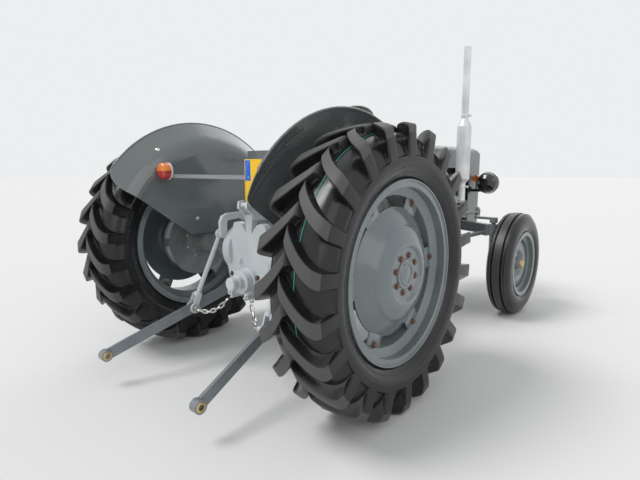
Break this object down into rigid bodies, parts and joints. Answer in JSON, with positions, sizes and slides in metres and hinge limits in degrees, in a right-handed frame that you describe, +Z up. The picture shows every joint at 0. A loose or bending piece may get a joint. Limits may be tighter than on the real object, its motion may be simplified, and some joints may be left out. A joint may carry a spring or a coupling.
{
  "type": "vintage farm tractor",
  "caption": "Vintage farm tractor with lugged rear tyres, fenders, pan seat, tilting bonnet with grille and lamps, upright exhaust and a rear three-point linkage.",
  "frame": {"origin": "on the ground, under the middle of the tractor's bounding box", "axes": "+X forward, +Y to the driver's left, +Z up"},
  "size_m": [2.95, 1.706, 1.856],
  "materials": {
    "engine_paint": "semi-gloss",
    "silver_paint": "aluminium heat paint, satin",
    "dark_metal": "satin black",
    "grey_paint": "gloss enamel",
    "battery_case": "moulded",
    "light_paint": "semi-gloss enamel on castings",
    "black_paint": "satin",
    "fender_paint": "gloss enamel",
    "bar_paint": "semi-gloss",
    "lamp_lens": "moulded lens, amber above and red below",
    "plate": "reflective, blank",
    "black_gloss": "gloss",
    "black_plastic": "hard rubber",
    "slate_paint": "gloss enamel",
    "zinc": "zinc plated",
    "tyre": "new, glossy",
    "rim_paint": "semi-gloss enamel",
    "disc_paint": "gloss enamel"
  },
  "bodies": {
    "chassis": {"engine": "engine_paint", "exhaust": "silver_paint", "fan": "engine_paint", "radiator": "dark_metal", "fuel_tank": "grey_paint", "battery": "battery_case", "front_support": "grey_paint", "front_axle": "grey_paint", "gearbox": "grey_paint", "rear_housing": "light_paint", "axle_trumpets": "light_paint", "lift_cover": "light_paint", "pto_cover": "light_paint", "footrests": "grey_paint", "controls": "black_paint", "dash": "grey_paint", "steering_box": "grey_paint", "seat": "grey_paint", "fender_left": "fender_paint", "fender_right": "fender_paint", "light_bar": "bar_paint", "tail_lamps": "lamp_lens", "number_plate": "plate"},
    "bonnet": {"bonnet": "grey_paint", "grille_shell": "grey_paint", "grille": "grey_paint", "headlamps": "black_gloss"},
    "steering_wheel": {"steering_wheel": "black_plastic"},
    "drop_arm_left": {"drop_arm_left": "grey_paint"},
    "drag_link_left": {"drag_link_left": "grey_paint"},
    "knuckle_left": {"knuckle_left": "grey_paint"},
    "lift_rod_left": {"lift_rod_left": "light_paint"},
    "lower_link_left": {"lower_link_left": "slate_paint"},
    "check_chain_left": {"check_chain_left": "zinc"},
    "front_wheel_left": {"front_tyre_left": "tyre", "front_rim_left": "rim_paint"},
    "rear_wheel_left": {"rear_tyre_left": "tyre", "rear_rim_left": "rim_paint", "rear_disc_left": "disc_paint"},
    "drop_arm_right": {"drop_arm_right": "grey_paint"},
    "drag_link_right": {"drag_link_right": "grey_paint"},
    "knuckle_right": {"knuckle_right": "grey_paint"},
    "lift_rod_right": {"lift_rod_right": "light_paint"},
    "lower_link_right": {"lower_link_right": "slate_paint"},
    "check_chain_right": {"check_chain_right": "zinc"},
    "front_wheel_right": {"front_tyre_right": "tyre", "front_rim_right": "rim_paint"},
    "rear_wheel_right": {"rear_tyre_right": "tyre", "rear_rim_right": "rim_paint", "rear_disc_right": "disc_paint"},
    "lift_arms": {"lift_arms": "light_paint"}
  },
  "joints": [
    {"name": "bonnet_tilt", "type": "hinge", "parent": "chassis", "child": "bonnet", "pos_m": [1.412, 0, 0.575], "axis": [0, 1, 0], "range_deg": [0, 80]},
    {"name": "steer_left", "type": "hinge", "parent": "chassis", "child": "knuckle_left", "pos_m": [1.02, 0.505, 0.583], "axis": [0, 0, 1], "range_deg": [-40, 40]},
    {"name": "steer_right", "type": "hinge", "parent": "chassis", "child": "knuckle_right", "pos_m": [1.02, -0.505, 0.583], "axis": [0, 0, 1], "range_deg": [-40, 40]},
    {"name": "steering_wheel_turn", "type": "hinge", "parent": "chassis", "child": "steering_wheel", "pos_m": [-0.158, 0, 1.23], "axis": [-0.7361, 0, 0.6769], "range_deg": [-320, 320]},
    {"name": "drop_arm_left", "type": "hinge", "parent": "chassis", "child": "drop_arm_left", "pos_m": [0.202, 0.205, 0.88], "axis": [0, 1, 0], "range_deg": [-26.1, 26.1]},
    {"name": "drag_link_left", "type": "hinge", "parent": "drop_arm_left", "child": "drag_link_left", "pos_m": [0.202, 0.229, 0.695], "axis": [0, 1, 0], "range_deg": [-26.1, 26.1]},
    {"name": "front_wheel_left", "type": "hinge", "parent": "knuckle_left", "child": "front_wheel_left", "pos_m": [1.02, 0.666, 0.358], "axis": [0, 1, 0], "continuous": true},
    {"name": "rear_wheel_left", "type": "hinge", "parent": "chassis", "child": "rear_wheel_left", "pos_m": [-0.758, 0.711, 0.602], "axis": [0, 1, 0], "continuous": true},
    {"name": "drop_arm_right", "type": "hinge", "parent": "chassis", "child": "drop_arm_right", "pos_m": [0.202, -0.205, 0.88], "axis": [0, 1, 0], "range_deg": [-26.1, 26.1]},
    {"name": "drag_link_right", "type": "hinge", "parent": "drop_arm_right", "child": "drag_link_right", "pos_m": [0.202, -0.229, 0.695], "axis": [0, 1, 0], "range_deg": [-26.1, 26.1]},
    {"name": "front_wheel_right", "type": "hinge", "parent": "knuckle_right", "child": "front_wheel_right", "pos_m": [1.02, -0.666, 0.358], "axis": [0, 1, 0], "continuous": true},
    {"name": "rear_wheel_right", "type": "hinge", "parent": "chassis", "child": "rear_wheel_right", "pos_m": [-0.758, -0.711, 0.602], "axis": [0, 1, 0], "continuous": true},
    {"name": "lift", "type": "hinge", "parent": "chassis", "child": "lift_arms", "pos_m": [-0.653, 0, 0.745], "axis": [0, 1, 0], "range_deg": [0, 58]},
    {"name": "lower_link_left", "type": "hinge", "parent": "chassis", "child": "lower_link_left", "pos_m": [-0.698, 0.215, 0.42], "axis": [0, 1, 0], "range_deg": [0, 40.1]},
    {"name": "lift_rod_left", "type": "hinge", "parent": "lift_arms", "child": "lift_rod_left", "pos_m": [-0.868, 0.232, 0.683], "axis": [0, 1, 0], "range_deg": [-51.5, 0]},
    {"name": "check_chain_left", "type": "hinge", "parent": "lower_link_left", "child": "check_chain_left", "pos_m": [-1.02, 0.28154, 0.30408], "axis": [0, 1, 0], "range_deg": [0, 60.8]},
    {"name": "lower_link_right", "type": "hinge", "parent": "chassis", "child": "lower_link_right", "pos_m": [-0.698, -0.215, 0.42], "axis": [0, 1, 0], "range_deg": [0, 40.1]},
    {"name": "lift_rod_right", "type": "hinge", "parent": "lift_arms", "child": "lift_rod_right", "pos_m": [-0.868, -0.232, 0.683], "axis": [0, 1, 0], "range_deg": [-51.5, 0]},
    {"name": "check_chain_right", "type": "hinge", "parent": "lower_link_right", "child": "check_chain_right", "pos_m": [-1.02, -0.28154, 0.30408], "axis": [0, 1, 0], "range_deg": [0, 60.8]}
  ],
  "couplings": [
    {"joint": "steer_right", "follows": "steer_left", "ratio": 1},
    {"joint": "steering_wheel_turn", "follows": "steer_left", "ratio": 8},
    {"joint": "drop_arm_left", "follows": "steer_left", "ratio": -0.65},
    {"joint": "drag_link_left", "follows": "steer_left", "ratio": 0.65},
    {"joint": "drop_arm_right", "follows": "steer_left", "ratio": 0.65},
    {"joint": "drag_link_right", "follows": "steer_left", "ratio": -0.65},
    {"joint": "lower_link_left", "follows": "lift", "ratio": 0.69},
    {"joint": "lift_rod_left", "follows": "lift", "ratio": -0.885},
    {"joint": "check_chain_left", "follows": "lift", "ratio": 1.0466},
    {"joint": "lower_link_right", "follows": "lift", "ratio": 0.69},
    {"joint": "lift_rod_right", "follows": "lift", "ratio": -0.885},
    {"joint": "check_chain_right", "follows": "lift", "ratio": 1.0466}
  ]
}
